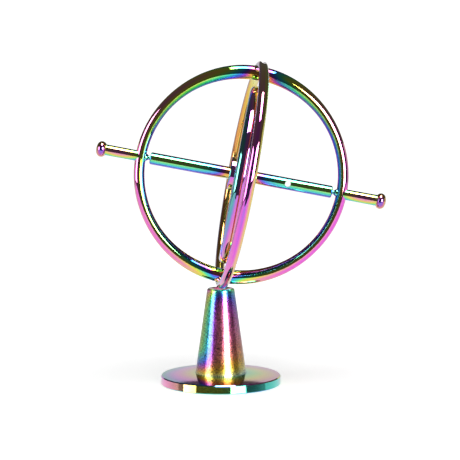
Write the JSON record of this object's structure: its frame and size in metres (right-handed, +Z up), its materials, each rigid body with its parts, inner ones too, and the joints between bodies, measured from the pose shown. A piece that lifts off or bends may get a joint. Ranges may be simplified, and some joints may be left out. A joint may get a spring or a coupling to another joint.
{
  "type": "gyroscope on stand",
  "caption": "Toy demonstration gyroscope: flywheel on a point-bearing axle in two crossed rings, leaning on a dished seat at the head of a tapered round stand.",
  "frame": {"origin": "centre of the stand's flat underside", "axes": "+Z up along the column; +X to the side that the gyroscope leans to; +Y away from the viewer"},
  "size_m": [0.0842, 0.067, 0.0941],
  "materials": {
    "polished_coat": "mirror polished with a rainbow interference coat",
    "blasted_coat": "bead blasted with a rainbow interference coat",
    "bearing_steel": "ground and hardened, dark",
    "plain_steel": "zinc plated"
  },
  "bodies": {
    "stand": {"base_plate": "polished_coat", "column": "blasted_coat", "base_screw": "plain_steel"},
    "seat": {"seat_cup": "polished_coat"},
    "frame": {"axial_ring": "polished_coat", "equator_ring": "polished_coat", "crossing_weld_top": "polished_coat", "crossing_weld_bottom": "polished_coat", "stem_left": "polished_coat", "stem_right": "polished_coat", "tip_left": "polished_coat", "tip_right": "polished_coat", "bearing_point_left": "bearing_steel", "bearing_point_right": "bearing_steel"},
    "rotor": {"axle": "polished_coat", "flywheel": "polished_coat", "hub_collar_left": "polished_coat", "hub_collar_right": "polished_coat", "bearing_seat_left": "bearing_steel", "bearing_seat_right": "bearing_steel"}
  },
  "joints": [
    {"name": "precession", "type": "hinge", "parent": "stand", "child": "seat", "pos_m": [0, 0, 0.0281], "axis": [0, 0, 1], "continuous": true},
    {"name": "lean", "type": "hinge", "parent": "seat", "child": "frame", "pos_m": [0, 0, 0.02945], "axis": [-0.0828, 0.9966, 0], "range_deg": [-37, 16]},
    {"name": "rotor_spin", "type": "hinge", "parent": "frame", "child": "rotor", "pos_m": [0.0059, 0.00049, 0.0611], "axis": [0.9831, -0.0014, -0.1833], "continuous": true}
  ]
}
